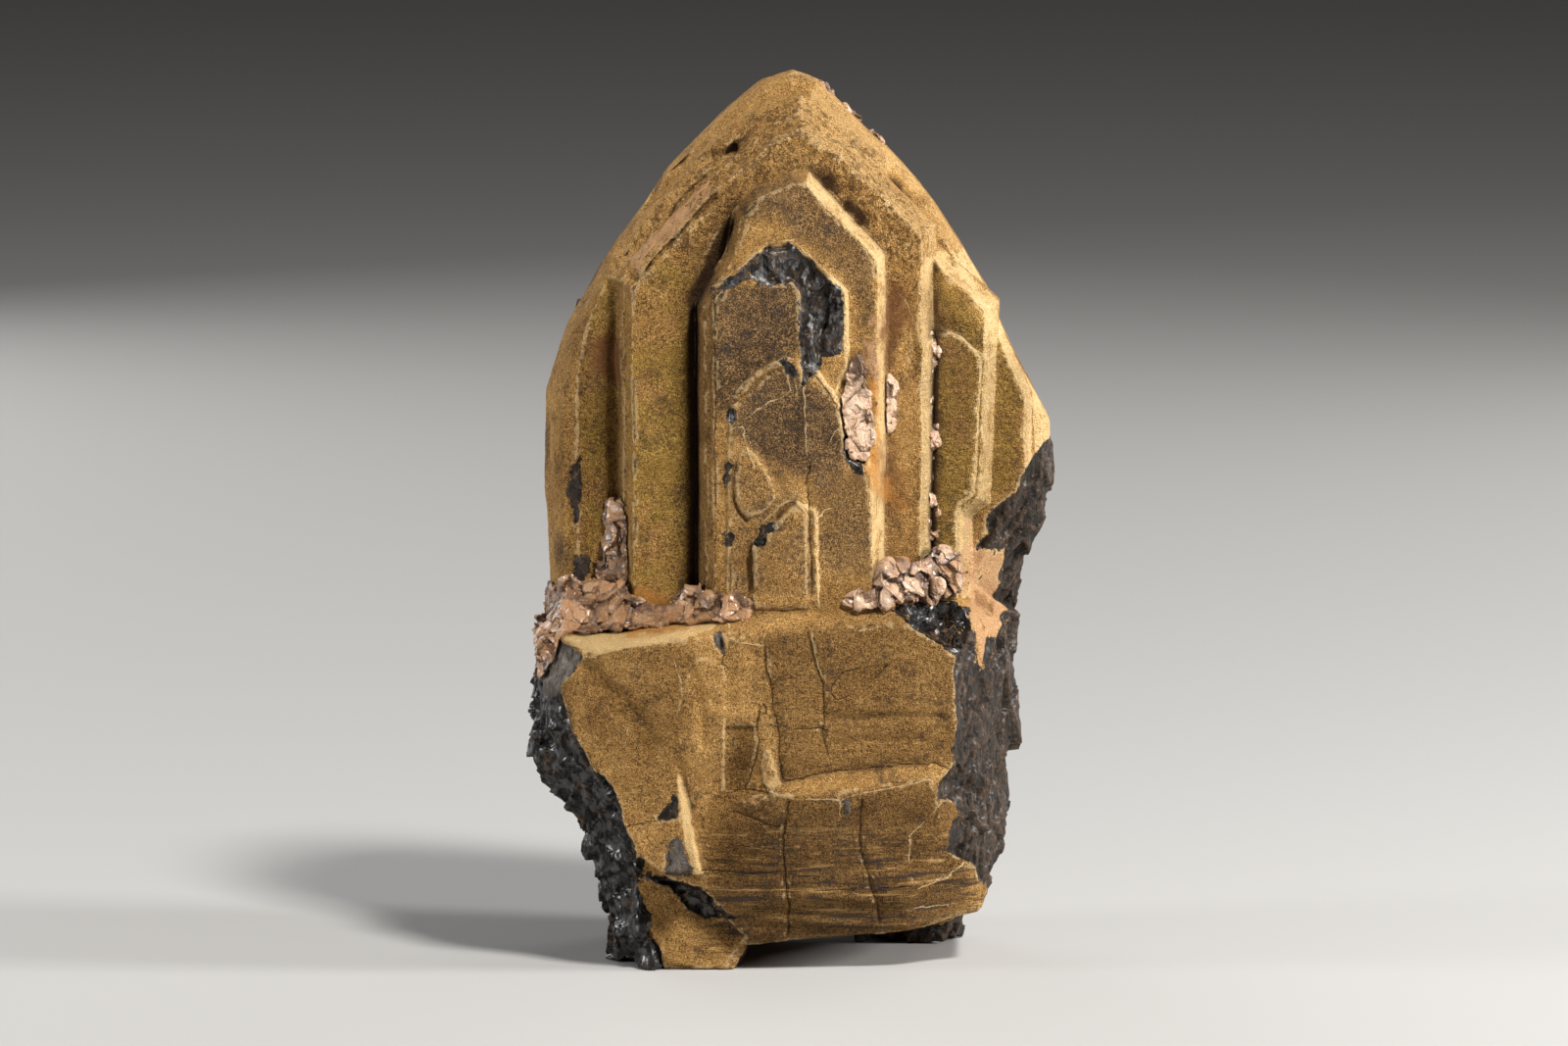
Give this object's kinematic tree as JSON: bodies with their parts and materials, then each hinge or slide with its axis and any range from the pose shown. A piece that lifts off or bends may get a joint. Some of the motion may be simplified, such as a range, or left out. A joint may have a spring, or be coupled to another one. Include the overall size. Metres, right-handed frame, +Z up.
{
  "type": "mineral specimen",
  "caption": "Upright euxenite crystal group: nested pointed plates over a blocky crystal, ochre-coated, black and glassy where broken, with remnants of pinkish feldspar.",
  "frame": {"origin": "on the surface that the specimen stands on, under the middle of its bounding box", "axes": "+Z up along the crystals, towards the tip; +Y away from the viewer, so that the stepped faces look towards -Y; +X to the right"},
  "size_m": [0.059, 0.0407, 0.1],
  "materials": {
    "euxenite": "rough earthy ochre coating, black and glassy where broken",
    "feldspar": "rough, sugary, pinkish white with rusty stains"
  },
  "bodies": {
    "root": {"euxenite_crystal": "euxenite", "feldspar_pocket": "feldspar", "feldspar_grain": "feldspar", "feldspar_seam": "feldspar", "feldspar_ledge_right": "feldspar", "feldspar_ledge_left": "feldspar", "feldspar_groove_left": "feldspar", "feldspar_roof_crust": "feldspar"}
  },
  "joints": []
}
